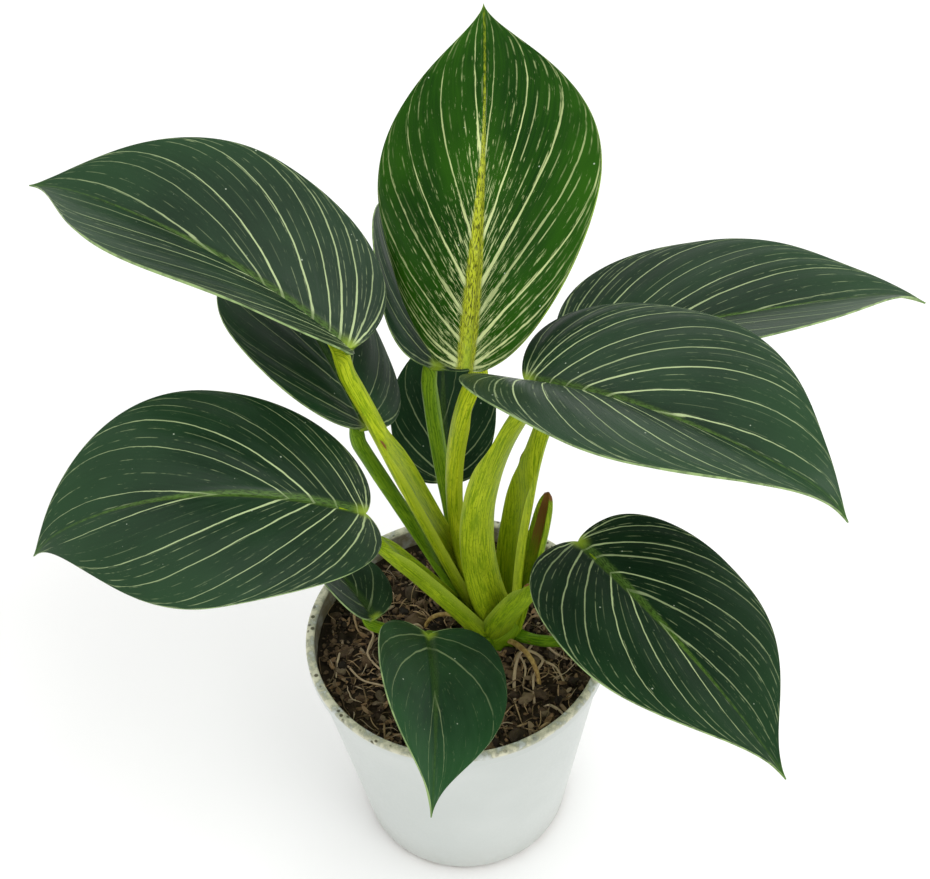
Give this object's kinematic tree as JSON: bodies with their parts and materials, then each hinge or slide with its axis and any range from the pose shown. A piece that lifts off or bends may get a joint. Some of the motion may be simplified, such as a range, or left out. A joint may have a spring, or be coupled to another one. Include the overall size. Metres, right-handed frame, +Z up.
{
  "type": "potted philodendron birkin plant",
  "caption": "Bushy pot plant with glossy heart-shaped, pinstriped leaves on stout sheathing petioles, in a plain tapered nursery pot with drainage holes.",
  "frame": {"origin": "middle of the pot's underside, on the surface that the pot stands on", "axes": "+Z up along the pot's axis; -Y towards the side that the picture is taken from; +X to the right in the picture"},
  "size_m": [0.3036, 0.2397, 0.3214],
  "materials": {
    "pot": "thin, faintly bluish white moulded plastic, satin",
    "soil": "dark fibrous potting mix, matt",
    "petiole": "yellow-green living stalk, satin",
    "blade": "very dark green leaf with pale pinstripes, waxy satin",
    "top_blade": "bright green young leaf with cream streaks, waxy satin"
  },
  "bodies": {
    "root": {"pot": "pot", "potting_mix": "soil", "stem_and_petioles": "petiole", "blade_upper_left": "blade", "blade_lower_left": "blade", "blade_top": "top_blade", "blade_right": "blade", "blade_back_right": "blade", "blade_lower_right": "blade", "blade_back_left": "blade", "blade_back": "blade", "blade_low_back": "blade", "blade_front": "blade", "blade_low_left": "blade", "blade_low_right": "blade"}
  },
  "joints": []
}
